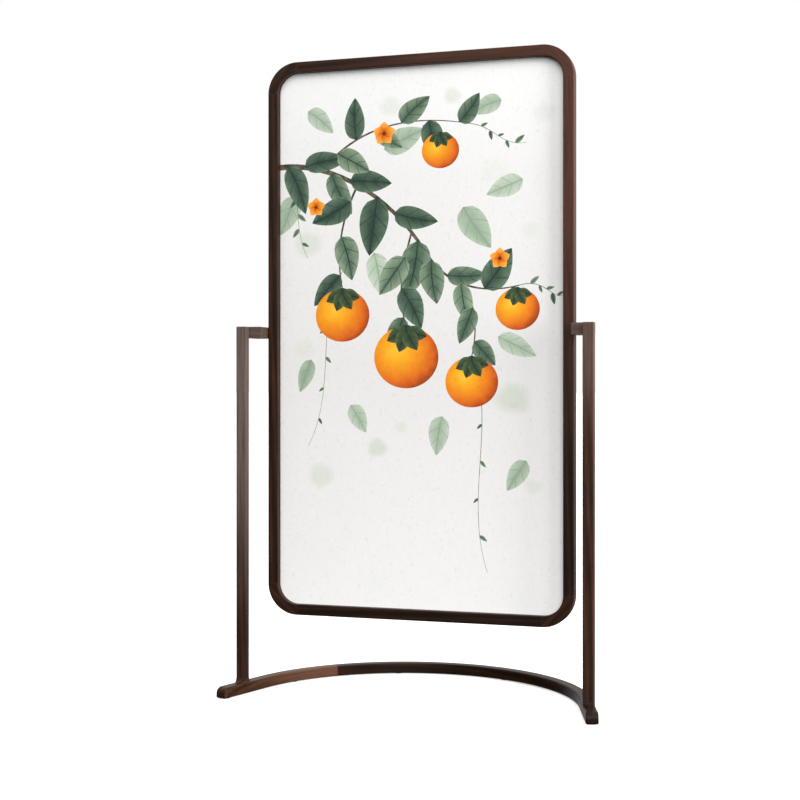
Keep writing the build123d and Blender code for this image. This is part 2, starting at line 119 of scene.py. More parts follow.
def stained_walnut(name, tones, grain=None, centre=None, painted_light=None, end=None):
    """Walnut with the grain along Z, turned by grain, or round a centre. The tones are dark, middle,
    pale, and worn at the edges. painted_light is an axis, the places on it where a painted wash of light
    starts and is full, and the lit tone. end is the way that a bare end faces, where the fibres drank more
    stain."""
    material, tree, shader = new_material(name)
    spot = add(tree, "TexCoord", {}).outputs["Object"]
    place = spot
    if centre:
        place = add(tree, "VectorMath", {0: spot, 1: centre}, operation="SUBTRACT").outputs[0]
        parts = add(tree, "SeparateXYZ", {0: place})
        flat = add(tree, "CombineXYZ", {0: parts.outputs[0], 1: parts.outputs[1]}).outputs[0]
        reach = add(tree, "VectorMath", {0: flat}, operation="LENGTH").outputs["Value"]
        turn = add(tree, "Math", {0: parts.outputs[0], 1: parts.outputs[1]}, operation="ARCTAN2")
        along = add(tree, "Math", {0: turn.outputs[0], 1: bow_radius}, operation="MULTIPLY")
        place = add(tree, "CombineXYZ", {0: reach, 1: parts.outputs[2], 2: along.outputs[0]}).outputs[0]
    fibre = add(tree, "Mapping", {
        "Vector": place, "Rotation": grain or (0, 0, 0), "Scale": (1, 1, grain_stretch),
    }, vector_type="TEXTURE").outputs[0]

    # The figure is streaks, rings and slow blotches. A wave of scale 0.2 pi has one ring to the metre.
    rings = add(tree, "TexWave", {
        "Vector": fibre, "Scale": 0.2 * pi / ring_spacing, "Distortion": 5.5,
        "Detail": 3, "Detail Scale": 1.4, "Detail Roughness": 0.62,
    }, bands_direction="DIAGONAL").outputs["Fac"]
    streaks = add(tree, "TexNoise", {
        "Vector": fibre, "Scale": 1 / streak_width, "Detail": 5, "Roughness": 0.62,
    }).outputs["Fac"]
    blotches = add(tree, "TexNoise", {"Vector": place, "Scale": 1 / blotch_width, "Detail": 2}).outputs["Fac"]
    figure = add(tree, "Mix", {0: ring_share, 2: streaks, 3: rings}, data_type="FLOAT").outputs[0]
    figure = add(tree, "Mix", {0: blotch_share, 2: figure, 3: blotches}, data_type="FLOAT").outputs[0]
    colour = add(tree, "ValToRGB", {0: figure}, stops=(
        (0.30, tones[0]), (0.50, tones[1]), (0.72, tones[2]),
    )).outputs[0]

    # The pores are the peaks of a noise whose cells are two pores wide.
    pores = add(tree, "TexNoise", {
        "Vector": fibre, "Scale": 0.5 / pore_width, "Detail": 2, "Roughness": 0.5,
    }).outputs["Fac"]
    pitted = add(tree, "MapRange", {0: pores, 1: 0.60, 2: 0.68, 3: 0.0, 4: 1.0}).outputs[0]
    sunk = add(tree, "Math", {0: pitted, 1: pore_shade}, operation="MULTIPLY").outputs[0]
    colour = add(tree, "Mix", {0: sunk, 6: colour, 7: linear(tones[0])}, data_type="RGBA").outputs[2]
    # A paler tone along one axis is painted light: a sheen or a pool of light painted into the colour.
    if painted_light:
        axis, start, full, lit_tone = painted_light
        along_axis = add(tree, "SeparateXYZ", {0: spot}).outputs[axis]
        share = add(tree, "MapRange", {0: along_axis, 1: start, 2: full, 3: 0.0, 4: lit_share},
                    interpolation_type="SMOOTHSTEP").outputs[0]
        uneven = add(tree, "Math", {0: share, 1: streaks}, operation="MULTIPLY").outputs[0]
        more = add(tree, "Math", {0: uneven, 1: 1.6}, operation="MULTIPLY", use_clamp=True).outputs[0]
        colour = add(tree, "Mix", {0: more, 6: colour, 7: linear(lit_tone)}, data_type="RGBA").outputs[2]
    face = add(tree, "NewGeometry", {}).outputs["Normal"]
    if end:
        turned = add(tree, "VectorMath", {0: face, 1: end}, operation="DOT_PRODUCT").outputs["Value"]
        cut = add(tree, "MapRange", {0: turned, 1: 0.6, 2: 0.95, 3: 0.0, 4: end_shade}).outputs[0]
        colour = add(tree, "Mix", {0: cut, 6: colour, 7: linear(tones[0])}, data_type="RGBA").outputs[2]

    # Edges are rubbed paler, unevenly along the streaks.
    round_edge = add(tree, "Bevel", {"Radius": worn_edge}, samples=4).outputs[0]
    level = add(tree, "VectorMath", {0: round_edge, 1: face}, operation="DOT_PRODUCT").outputs["Value"]
    edge = add(tree, "MapRange", {0: level, 1: 0.995, 2: 0.93, 3: 0.0, 4: wear}).outputs[0]
    worn = add(tree, "Math", {0: edge, 1: streaks}, operation="MULTIPLY").outputs[0]
    colour = add(tree, "Mix", {0: worn, 6: colour, 7: linear(tones[3])}, data_type="RGBA").outputs[2]
    tree.links.new(colour, shader.inputs["Base Color"])

    # The lacquer is satin, a little duller over the pale streaks, and sinks into the pores.
    gloss = add(tree, "MapRange", {
        0: streaks, 1: 0.3, 2: 0.7, 3: satin_roughness[0], 4: satin_roughness[1],
    }).outputs[0]
    tree.links.new(gloss, shader.inputs["Roughness"])
    height = add(tree, "Math", {0: streaks, 1: pitted}, operation="SUBTRACT").outputs[0]
    bump = add(tree, "Bump", {"Height": height, "Strength": 0.35, "Distance": 0.0002})
    tree.links.new(bump.outputs[0], shader.inputs["Normal"])
    shader.inputs["IOR"].default_value = 1.5
    shader.inputs["Specular IOR Level"].default_value = lacquer_level
    return material


dark_tones = ("#130A05", "#21130A", "#331D11", "#533522")
lit_foot_tones = ("#26150C", "#3B2417", "#513323", "#6B4833")
finish_with(stained_walnut("walnut_bow", dark_tones, centre=bow_centre), "base_bow")
finish_with(stained_walnut("walnut_right_foot", dark_tones, centre=bow_centre,
                           end=(sin(flare), -cos(flare), 0)), "right_foot")
# The left foot is painted paler, most towards its right: painted light where the lamp on the right falls.
finish_with(stained_walnut("walnut_left_foot_painted_light", lit_foot_tones, centre=bow_centre,
                           painted_light=(width_axis, -0.50, -0.38, "#6E4C39"),
                           end=(-sin(flare), -cos(flare), 0)), "left_foot")


# The hidden joinery: beech dowels and tenons, a zinc-plated stud at each joint of the base, drawn
# up by two turned barrel nuts that are slotted for a screwdriver on the underside, and under each
# post a bolt with its washer, which screws into a brass insert.

# Beech shows its rays as flecks 1.4 mm wide.
beech_fleck = 0.00143


def straight_beech(name):
    """Beech dowel rod and tenon stock: pale, close-grained, left bare for the glue."""
    material, tree, shader = new_material(name)
    place = add(tree, "TexCoord", {}).outputs["Object"]
    flecks = add(tree, "TexNoise", {"Vector": place, "Scale": 1 / beech_fleck, "Detail": 3}).outputs["Fac"]
    colour = add(tree, "ValToRGB", {0: flecks}, stops=((0.35, "#B98F66"), (0.65, "#D9B48A")))
    tree.links.new(colour.outputs[0], shader.inputs["Base Color"])
    bump = add(tree, "Bump", {"Height": flecks, "Strength": 0.2, "Distance": 0.0002})
    tree.links.new(bump.outputs[0], shader.inputs["Normal"])
    shader.inputs["Roughness"].default_value = 0.62
    return material


finish_with(straight_beech("beech_rod"), "base_dowels", "arm_dowels", "post_dowels", "frame_tenons")

# Lathe lines are really 0.1 mm apart, and are drawn 0.5 mm apart to show.
mottle_width = 0.00385
lathe_line = 0.000526


def turned_metal(name, colour, shade, roughness):
    """Metal turned from bar: fine lathe lines and a slightly mottled plating or patina."""
    material, tree, shader = new_material(name)
    place = add(tree, "TexCoord", {}).outputs["Object"]
    mottle = add(tree, "TexNoise", {"Vector": place, "Scale": 1 / mottle_width, "Detail": 3}).outputs["Fac"]
    tint = add(tree, "ValToRGB", {0: mottle}, stops=((0.35, shade), (0.62, colour)))
    tree.links.new(tint.outputs[0], shader.inputs["Base Color"])
    rough = add(tree, "MapRange", {0: mottle, 1: 0.3, 2: 0.7, 3: roughness + 0.1, 4: roughness})
    tree.links.new(rough.outputs[0], shader.inputs["Roughness"])
    lines = add(tree, "TexNoise", {"Vector": place, "Scale": 1 / lathe_line, "Detail": 1}).outputs["Fac"]
    bump = add(tree, "Bump", {"Height": lines, "Strength": 0.15, "Distance": 0.00005})
    tree.links.new(bump.outputs[0], shader.inputs["Normal"])
    shader.inputs["Metallic"].default_value = 1
    return material


zinc = turned_metal("zinc_plated_steel", "#B9BBBF", "#8F9196", 0.32)
brass = turned_metal("turned_brass", "#C9A25A", "#9C7A3C", 0.26)
finish_with(zinc, "base_studs", "barrel_nuts", "post_bolts", "post_washers")
finish_with(brass, "post_inserts")


# Pressed wool felt pads are glued under the feet and the bow, so that the base slides without
# scratching. Wool's fibres are too fine to show, so the fuzz is drawn as tufts 1.1 mm wide.
tuft_width = 0.00111

felt, tree, shader = new_material("pressed_felt")
place = add(tree, "TexCoord", {}).outputs["Object"]
fuzz = add(tree, "TexNoise", {
    "Vector": place, "Scale": 1 / tuft_width, "Detail": 4, "Roughness": 0.7,
}).outputs["Fac"]
shade = add(tree, "ValToRGB", {0: fuzz}, stops=((0.3, "#17130F"), (0.7, "#35302B")))
tree.links.new(shade.outputs[0], shader.inputs["Base Color"])
nap = add(tree, "Bump", {"Height": fuzz, "Strength": 0.8, "Distance": 0.0004})
tree.links.new(nap.outputs[0], shader.inputs["Normal"])
shader.inputs["Roughness"].default_value = 0.95
finish_with(felt, "floor_pads")


# The posts stand on the feet and carry the arms. They are slim walnut, bolted from below, and they
# are painted paler towards the top: a painted sheen, where light from above catches the lacquer.
post_tones = ("#20120A", "#331F14", "#462C1F", "#644432")
finish_with(stained_walnut("walnut_left_post", post_tones, painted_light=(height_axis, 0.15, 0.8, "#72635C")),
            "left_post")
finish_with(stained_walnut("walnut_right_post", post_tones, painted_light=(height_axis, 0.7, 1.0, "#644F43")),
            "right_post")


# Short arms carry the panel behind the posts. They are sawn with the grain across, and round face
# grain plugs cover the pins' ends. Each pin turns in a brass bush in the stile, past a brass washer.
along_x = (0, radians(90), 0)
# The arms are painted paler high up: a painted sheen like the posts'.
finish_with(stained_walnut("walnut_arm", post_tones, grain=along_x,
                           painted_light=(height_axis, 0.9, 1.0, "#665650")), "left_arm", "right_arm")
finish_with(stained_walnut("walnut_cap", dark_tones), "pivot_caps")
finish_with(brass, "side_washers", "pivot_bushes")
finish_with(zinc, "left_pivot_pin", "right_pivot_pin")


# The panel's frame: straight stiles and rails, loose-tenoned to four corners that are sawn to a
# quarter circle from planks laid at 45 degrees, so the grain turns at each butt joint.
frame_tones = ("#1A0E08", "#2A180E", "#402617", "#5E3E28")
# Darker tones still, for the right stile and the bottom rail, are painted shade: the frame darkens away from
# the light at its upper right.
shaded_frame_tones = ("#130905", "#1E1009", "#2F1B10", "#4A2F20")
rising = (0, radians(45), 0)
falling = (0, radians(-45), 0)
finish_with(stained_walnut("walnut_left_stile", frame_tones), "left_stile")
# The right stile is painted paler towards its top: painted light from the upper right.
finish_with(stained_walnut("walnut_right_stile", shaded_frame_tones,
                           painted_light=(height_axis, 0.6, 1.5, "#553428")), "right_stile")
finish_with(stained_walnut("walnut_bottom_rail", shaded_frame_tones, grain=along_x), "bottom_rail")
# The top rail is painted paler towards its right end: painted light from the upper right.
finish_with(stained_walnut("walnut_top_rail", frame_tones, grain=along_x,
                           painted_light=(width_axis, -0.3, 0.1, "#4B2D20")), "top_rail")
finish_with(stained_walnut("walnut_corner_rising", frame_tones, grain=rising),
            "corner_top_left", "corner_bottom_right")
finish_with(stained_walnut("walnut_corner_falling", frame_tones, grain=falling), "corner_bottom_left")
# The top right corner is painted paler towards its top: painted light from the upper right.
finish_with(stained_walnut("walnut_corner_painted_light", frame_tones, grain=falling,
                           painted_light=(height_axis, 1.2, 1.6, "#523126")), "corner_top_right")


# The board behind the picture: thin birch plywood with its face grain upright, which lies in the
# frame's rebate. The two cloths are stretched over it, so it is left bare.
veneer_streak = 0.00625
veneer_stretch = 22

plywood, tree, shader = new_material("birch_plywood")
place = add(tree, "TexCoord", {}).outputs["Object"]
long_grain = add(tree, "Mapping", {
    "Vector": place, "Scale": (1, 1, veneer_stretch),
}, vector_type="TEXTURE").outputs[0]
veneer = add(tree, "TexNoise", {"Vector": long_grain, "Scale": 1 / veneer_streak, "Detail": 4}).outputs["Fac"]
shade = add(tree, "ValToRGB", {0: veneer}, stops=((0.35, "#A98760"), (0.65, "#C9A97F")))
tree.links.new(shade.outputs[0], shader.inputs["Base Color"])
shader.inputs["Roughness"].default_value = 0.6
finish_with(plywood, "picture_board")


# The picture: a fine off-white cloth on each side of the board, stretched flat and held by the
# frame's lip in front and the beads behind. A botanical print is part of its face, so the motifs'
# outlines are cut into the sheet's own mesh, and each one is a material of the same cloth.

def two_parts(point):
    """The across and up parts of a point in the picture's plane."""
    return Vector((point[0], point[1]))


motifs = []


def print_motif(ink, shape, local, tone=0.5):
    """Keeps one motif of the print: its ink, its flat mesh and its own two coordinates."""
    shape.normal_update()
    bmesh.ops.reverse_faces(shape, faces=[face for face in shape.faces if face.normal.z < 0])
    motifs.append({"ink": ink, "shape": shape, "local": local, "tone": tone})


def leaf(ink, base, heading, length, width, curl=0.0, tone=0.5, rows=12):
    """A pointed oval on a grid whose rows narrow to the stalk and the tip, curled to one side."""
    along = Vector((cos(heading), sin(heading)))
    side = Vector((-along.y, along.x))
    blunt_stalk = 0.55
    sharp_tip = 0.9
    widest = 0.382

    def half(share):
        share = min(max(share, 0.0), 1.0)
        return share ** blunt_stalk * (1 - share) ** sharp_tip / widest * width / 2

    def bow(share):
        return curl * length * share * share

    def local(point):
        away = point - base
        share = away.dot(along) / length
        off = away.dot(side) - bow(share)
        return min(max(off / max(half(share), 1e-5), -1), 1), share

    shape = bmesh.new()
    bmesh.ops.create_grid(shape, x_segments=2, y_segments=rows, size=0.5)
    for corner in shape.verts:
        share = corner.co.y + 0.5
        off = 2 * corner.co.x * half(share) + bow(share)
        corner.co = (*(base + along * length * share + side * off), 0)
    bmesh.ops.remove_doubles(shape, verts=shape.verts, dist=1e-5)
    print_motif(ink, shape, local, tone)


def disc(ink, centre, wide, high, tone=0.5, rings=(1.0,), wobble=0.0, phase=0.0, segments=40):
    """A round motif, wavy at its rim where wobble says so, with inner rings for a soft wash."""
    def rim(turn):
        return 1 + wobble * (sin(3 * turn + phase) + 0.5 * sin(5 * turn - 2 * phase))

    shape = bmesh.new()
    hub = shape.verts.new((*centre, 0))
    inner = None
    for ring in sorted(rings):
        circle = bmesh.ops.create_circle(shape, segments=segments, radius=1.0)["verts"]
        for corner in circle:
            turn = atan2(corner.co.y, corner.co.x)
            grow = ring * rim(turn)
            corner.co = (centre.x + wide / 2 * grow * cos(turn), centre.y + high / 2 * grow * sin(turn), 0)
        if inner is None:
            for a, b in zip(circle, circle[1:] + circle[:1]):
                shape.faces.new((hub, a, b))
        else:
            for i in range(segments):
                shape.faces.new((inner[i - 1], inner[i], circle[i], circle[i - 1]))
        inner = circle

    def local(point):
        away = point - centre
        across, up = away.x / (wide / 2), away.y / (high / 2)
        grow = rim(atan2(up, across))
        return across / grow, up / grow

    print_motif(ink, shape, local, tone)


def stroke(ink, start, pull, push, end, thick, thin, tone=0.5, steps=18):
    """A tapering brush stroke along a Bezier curve. Returns the curve's points."""
    line = interpolate_bezier(*[(*p, 0) for p in (start, pull, push, end)], steps + 1)
    shape = bmesh.new()
    bmesh.ops.create_grid(shape, x_segments=1, y_segments=steps, size=0.5)
    for corner in shape.verts:
        row = round((corner.co.y + 0.5) * steps)
        ahead = (line[min(row + 1, steps)] - line[max(row - 1, 0)]).normalized()
        half = (thick + (thin - thick) * row / steps) / 2
        off = 2 * corner.co.x * half
        corner.co = (line[row].x - ahead.y * off, line[row].y + ahead.x * off, 0)
    print_motif(ink, shape, lambda point: (0, 0), tone)
    return [two_parts(p) for p in line]


# The print's small differences come from one seed, so it is the same each time.
chance = random.Random(7)

# Pale green-grey blots lie under everything else. Each has its middle's place and its width.
for x, y, size in ((-0.33, 1.28, 0.10), (-0.08, 1.66, 0.08), (0.22, 1.46, 0.11), (0.32, 1.30, 0.07),
                   (-0.34, 0.98, 0.08), (0.27, 0.84, 0.12), (-0.12, 0.70, 0.07), (-0.05, 0.76, 0.05),
                   (0.33, 0.60, 0.06), (-0.29, 0.62, 0.09), (0.10, 1.68, 0.06), (0.36, 1.62, 0.08)):
    disc("blot", Vector((x, y)), size, size * chance.uniform(0.8, 1.0), rings=(0.55, 0.85, 1.0),
         wobble=0.07, phase=chance.uniform(0, 6), tone=chance.uniform(0.2, 1.0), segments=28)

# Faint leaves further off fill the gaps: the place of each stalk, its heading and its length.
for x, y, turn, length in ((-0.37, 1.42, 250, 0.12), (-0.10, 1.54, 25, 0.13), (0.13, 1.37, 300, 0.14),
                           (0.30, 1.44, 200, 0.11), (-0.13, 1.25, 285, 0.12), (0.23, 1.01, 335, 0.12),
                           (-0.32, 0.95, 250, 0.10), (0.07, 0.79, 255, 0.11), (-0.20, 0.82, 305, 0.09),
                           (0.31, 0.67, 235, 0.10), (0.24, 1.66, 190, 0.09), (-0.33, 1.66, 330, 0.10)):
    leaf("far_leaf", Vector((x, y)), radians(turn), length, length * chance.uniform(0.45, 0.6),
         curl=chance.uniform(-0.2, 0.2), tone=chance.uniform(0, 1))

# A branch comes in from the upper left, with side twigs and thin hanging shoots. A row has the four
# points of a curve and its thickness at both ends.
twigs = [
    ((-0.44, 1.500), (-0.30, 1.525), (-0.10, 1.440), (0.02, 1.250), 0.017, 0.009),
    ((0.02, 1.250), (0.07, 1.170), (0.16, 1.120), (0.29, 1.150), 0.009, 0.003),
    ((-0.27, 1.505), (-0.18, 1.600), (-0.04, 1.640), (0.15, 1.600), 0.007, 0.002),
    ((-0.17, 1.460), (-0.22, 1.370), (-0.25, 1.270), (-0.225, 1.150), 0.007, 0.004),
    ((-0.02, 1.300), (-0.05, 1.200), (-0.06, 1.120), (-0.035, 1.040), 0.006, 0.004),
    ((0.14, 1.142), (0.17, 1.080), (0.17, 1.020), (0.155, 0.955), 0.005, 0.003),
]
shoots = [
    ((-0.225, 1.200), (-0.31, 1.060), (-0.24, 0.860), (-0.33, 0.700), 0.0022, 0.001),
    ((0.155, 0.960), (0.23, 0.780), (0.13, 0.560), (0.20, 0.360), 0.0024, 0.001),
    ((0.29, 1.150), (0.36, 1.170), (0.38, 1.110), (0.41, 1.120), 0.0022, 0.001),
    ((0.15, 1.600), (0.22, 1.590), (0.24, 1.530), (0.31, 1.540), 0.0020, 0.001),
    ((-0.40, 1.500), (-0.34, 1.400), (-0.38, 1.330), (-0.33, 1.240), 0.0022, 0.001),
]
for *curve, thick, thin in shoots:
    line = stroke("shoot", *[Vector(p) for p in curve], thick, thin)
    for i in range(3, len(line) - 1, 3):
        ahead = line[i + 1] - line[i]
        heading = atan2(ahead.y, ahead.x) + (0.8 if i % 2 else -0.8)
        length = chance.uniform(0.018, 0.034)
        leaf("leaf", line[i], heading, length, length * 0.42, tone=chance.uniform(0.3, 1), rows=6)

lines = [stroke("bark", *[Vector(p) for p in curve], thick, thin) for *curve, thick, thin in twigs]

# Leaves spring from the twigs, turn by turn to each side, and droop towards their tips. Each twig
# has its own number of leaves and their usual length.
for line, count, size in zip(lines, (7, 5, 6, 3, 3, 2), (0.15, 0.13, 0.11, 0.12, 0.12, 0.10)):
    for i in range(count):
        share = (i + 0.6) / count
        near = round(share * (len(line) - 1))
        spot = line[near]
        ahead = line[min(near + 1, len(line) - 1)] - line[max(near - 1, 0)]
        heading = atan2(ahead.y, ahead.x) + (1 if i % 2 else -1) * chance.uniform(0.7, 1.2)
        heading += 0.35 * sin(-pi / 2 - heading)
        length = size * chance.uniform(0.75, 1.1)
        leaf("leaf", spot, heading, length, length * chance.uniform(0.46, 0.6),
             curl=chance.uniform(-0.22, 0.22), tone=chance.uniform(0, 1))

# Round fruits hang from the twigs, each under a four-lobed calyx.
fruits = [
    ((-0.225, 1.075), 0.150), ((-0.035, 0.955), 0.175), ((0.155, 0.885), 0.140),
    ((0.285, 1.085), 0.115), ((0.065, 1.530), 0.100),
]
for (x, y), size in fruits:
    middle = Vector((x, y))
    disc("fruit", middle, size * 1.08, size, tone=chance.uniform(0, 1), segments=56)
    top = middle + Vector((0, size * 0.42))
    disc("calyx", top, size * 0.26, size * 0.2, tone=0.4, segments=20)
    for turn in (200, 340, 245, 295):
        leaf("calyx", top, radians(turn), size * 0.36, size * 0.26, curl=0.1, tone=0.4, rows=6)

# Small blossoms of five petals.
for x, y, size in ((-0.10, 1.585, 0.034), (0.235, 1.225, 0.030), (-0.305, 1.385, 0.028)):
    middle = Vector((x, y))
    for i in range(5):
        leaf("petal", middle, radians(90 + 72 * i), size, size * 0.92, tone=i / 5, rows=8)
    disc("pollen", middle, size * 0.34, size * 0.34, segments=12)


# The cloth's threads are 0.3 mm wide and wouldn't show, so they are drawn as uneven slubs, 4 mm wide
# and six times as long up the cloth, crossed by finer weft.
slub_width = 0.00385
slub_stretch = 6
weft_width = 0.00238
weft_stretch = 7
weft_share = 0.35


def weave(tree, place):
    """The relief of the cloth's uneven threads, upright slubs more than level weft."""
    up = add(tree, "Mapping", {
        "Vector": place, "Scale": (1, 1, slub_stretch),
    }, vector_type="TEXTURE").outputs[0]
    slubs = add(tree, "TexNoise", {
        "Vector": up, "Scale": 1 / slub_width, "Detail": 3, "Roughness": 0.6,
    }).outputs["Fac"]
    cross = add(tree, "Mapping", {
        "Vector": place, "Scale": (weft_stretch, 1, 1),
    }, vector_type="TEXTURE").outputs[0]
    weft = add(tree, "TexNoise", {"Vector": cross, "Scale": 1 / weft_width, "Detail": 2}).outputs["Fac"]
    return add(tree, "Mix", {0: weft_share, 2: slubs, 3: weft}, data_type="FLOAT").outputs[0]


# Sparse grey flecks, up to about 8 mm across, are painted shade where the fine cloth is crinkled on its
# backing.
crinkle_shade_spacing = 0.01053


def printed_cloth(name, ink):
    """Plain-woven cloth whose printed colour comes from ink(tree, place, spot, tone)."""
    material, tree, shader = new_material(name)
    place = add(tree, "TexCoord", {}).outputs["Object"]
    spot = add(tree, "UVMap", {}, uv_map="motif").outputs[0]
    tone = add(tree, "Attribute", {}, attribute_name="tone").outputs["Fac"]
    threads = weave(tree, place)
    colour = ink(tree, place, spot, tone)
    thread_tone = add(tree, "MapRange", {0: threads, 1: 0.32, 2: 0.68, 3: 0.975, 4: 1.02}).outputs[0]
    # Painted shade of the crinkles darkens the cloth in sparse flecks.
    flecks = add(tree, "TexNoise", {
        "Vector": place, "Scale": 1 / crinkle_shade_spacing, "Detail": 2,
    }).outputs["Fac"]
    crinkle_shade = add(tree, "MapRange", {0: flecks, 1: 0.60, 2: 0.72, 3: 1.0, 4: 0.93}).outputs[0]
    level = add(tree, "Math", {0: thread_tone, 1: crinkle_shade}, operation="MULTIPLY").outputs[0]
    grey = add(tree, "CombineXYZ", {0: level, 1: level, 2: level}).outputs[0]
    colour = add(tree, "Mix", {0: 1.0, 6: colour, 7: grey}, data_type="RGBA",
                 blend_type="MULTIPLY").outputs[2]
    tree.links.new(colour, shader.inputs["Base Color"])
    bump = add(tree, "Bump", {"Height": threads, "Strength": 0.25, "Distance": 0.0004})
    tree.links.new(bump.outputs[0], shader.inputs["Normal"])
    shader.inputs["Roughness"].default_value = 0.85
    shader.inputs["Specular IOR Level"].default_value = 0.25
    return material


# The ground changes slowly from its foot to its head, under faint clouds about 170 mm across.
ground_foot = 0.25
ground_head = 1.77
cloud_width = 0.167


def ground_ink(tree, place, spot, tone):
    """Off-white, a little greyer across the middle, with the faint stains of age."""
    height = add(tree, "SeparateXYZ", {0: place}).outputs[height_axis]
    bands = add(tree, "MapRange", {0: height, 1: ground_foot, 2: ground_head, 3: 0.0, 4: 1.0}).outputs[0]
    base = add(tree, "ValToRGB", {0: bands}, stops=(
        (0.0, "#EEEDEC"), (0.45, "#E2E0DE"), (0.8, "#E7E6E4"), (1.0, "#F1F1F0"),
    )).outputs[0]
    clouds = add(tree, "TexNoise", {"Vector": place, "Scale": 1 / cloud_width, "Detail": 3}).outputs["Fac"]
    faint = add(tree, "MapRange", {0: clouds, 1: 0.5, 2: 0.75, 3: 0.0, 4: 0.12}).outputs[0]
    return add(tree, "Mix", {0: faint, 6: base, 7: linear("#D8DDD6")}, data_type="RGBA").outputs[2]


def blot_ink(tree, place, spot, tone):
    """A thin green-grey wash that fades out at its rim."""
    base = ground_ink(tree, place, spot, tone)
    reach = add(tree, "VectorMath", {0: spot}, operation="LENGTH").outputs["Value"]
    wash = add(tree, "MapRange", {0: reach, 1: 1.0, 2: 0.5, 3: 0.0, 4: 0.5}).outputs[0]
    wash = add(tree, "Math", {0: wash, 1: tone}, operation="MULTIPLY").outputs[0]
    return add(tree, "Mix", {0: wash, 6: base, 7: linear("#B9C7AE")}, data_type="RGBA").outputs[2]


# Leaf colour pools in patches about 26 mm across. The side veins slant forward to the tip.
leaf_pool = 0.0263
vein_slant = 0.22
vein_gaps = 3.5


def leaf_ink(tree, place, spot, tone, deep="#2F4339", middle="#566E5A", pale="#93A78A", vein="#22352D"):
    """Blue-green watercolour: deep by the midrib, paler at the rim, with fine dark veins."""
    parts = add(tree, "SeparateXYZ", {0: spot})
    off = add(tree, "Math", {0: parts.outputs[0]}, operation="ABSOLUTE").outputs[0]
    pools = add(tree, "TexNoise", {"Vector": place, "Scale": 1 / leaf_pool, "Detail": 3}).outputs["Fac"]
    shade = add(tree, "Mix", {0: 0.5, 2: off, 3: pools}, data_type="FLOAT").outputs[0]
    shade = add(tree, "Mix", {0: 0.35, 2: shade, 3: tone}, data_type="FLOAT").outputs[0]
    colour = add(tree, "ValToRGB", {0: shade}, stops=((0.22, deep), (0.5, middle), (0.85, pale))).outputs[0]
    along = parts.outputs[1]
    slant = add(tree, "Math", {0: off, 1: -vein_slant, 2: along}, operation="MULTIPLY_ADD").outputs[0]
    counted = add(tree, "Math", {0: slant, 1: 2 * vein_gaps}, operation="MULTIPLY").outputs[0]
    near = add(tree, "Math", {0: counted, 1: 1.0}, operation="PINGPONG").outputs[0]
    side_vein = add(tree, "MapRange", {0: near, 1: 0.0, 2: 0.16, 3: 0.75, 4: 0.0}).outputs[0]
    midrib = add(tree, "MapRange", {0: off, 1: 0.02, 2: 0.09, 3: 0.9, 4: 0.0}).outputs[0]
    lines = add(tree, "Math", {0: side_vein, 1: midrib}, operation="MAXIMUM").outputs[0]
    return add(tree, "Mix", {0: lines, 6: colour, 7: linear(vein)}, data_type="RGBA").outputs[2]


def far_leaf_ink(tree, place, spot, tone):
    """Leaves further off are a thin wash of the same green."""
    return leaf_ink(tree, place, spot, tone, "#8FA48D", "#ABBCA6", "#CAD4C5", "#869C85")


def calyx_ink(tree, place, spot, tone):
    """The calyx is the leaves' green, darker and browner."""
    return leaf_ink(tree, place, spot, tone, "#263426", "#3F5238", "#71804F", "#1B261A")


# The fruits' highlight is up and to the left of their middle, and their skin mottled every 22 mm.
fruit_highlight = (-0.28, 0.22, 0)
fruit_mottle = 0.0222


def fruit_ink(tree, place, spot, tone):
    """Orange fruit: yellow by its highlight, and red-brown round the lower right rim."""
    lit = add(tree, "VectorMath", {0: spot, 1: fruit_highlight}, operation="DISTANCE").outputs["Value"]
    mottle = add(tree, "TexNoise", {"Vector": place, "Scale": 1 / fruit_mottle, "Detail": 3}).outputs["Fac"]
    uneven = add(tree, "MapRange", {0: mottle, 1: 0.3, 2: 0.7, 3: -0.07, 4: 0.07}).outputs[0]
    depth = add(tree, "Math", {0: lit, 1: uneven}, operation="ADD").outputs[0]
    reach = add(tree, "MapRange", {0: depth, 1: 0.0, 2: 1.3, 3: 0.0, 4: 1.0}).outputs[0]
    return add(tree, "ValToRGB", {0: reach}, stops=(
        (0.0, "#F9C13A"), (0.3, "#F2A51C"), (0.6, "#E8851A"), (0.85, "#D4601A"), (1.0, "#A5450F"),
    )).outputs[0]


def petal_ink(tree, place, spot, tone):
    """Orange petals, paler at the tip."""
    share = add(tree, "SeparateXYZ", {0: spot}).outputs[1]
    return add(tree, "ValToRGB", {0: share}, stops=(
        (0.1, "#C2500F"), (0.45, "#EE8A1E"), (1.0, "#F7B64E"),
    )).outputs[0]


# A loaded brush leaves pools about 17 mm apart.
brush_pool = 0.01667


def one_ink(colour, wet):
    """A single brush colour, pooled darker in places."""
    def ink(tree, place, spot, tone):
        pools = add(tree, "TexNoise", {"Vector": place, "Scale": 1 / brush_pool, "Detail": 2}).outputs["Fac"]
        return add(tree, "ValToRGB", {0: pools}, stops=((0.35, wet), (0.65, colour))).outputs[0]
    return ink


inks = {
    "ground": ground_ink, "blot": blot_ink, "far_leaf": far_leaf_ink, "leaf": leaf_ink,
    "calyx": calyx_ink, "fruit": fruit_ink, "petal": petal_ink, "bark": one_ink("#6B6350", "#3C382D"),
    "shoot": one_ink("#6F8C6C", "#45604A"), "pollen": one_ink("#8A3A10", "#5E2409"),
}
cloth_kinds = list(inks)
cloth_materials = [printed_cloth("printed_cloth_" + kind, inks[kind]) for kind in cloth_kinds]


# The cloths are cut 0.9 mm smaller all round than the rebate, and so are their rounded corners. The
# cut keeps what lies inside an outline, and joins points that are a thousandth of a millimetre apart.
cloth_corner = 0.0651
inside_only = 1
same_point = 1e-6


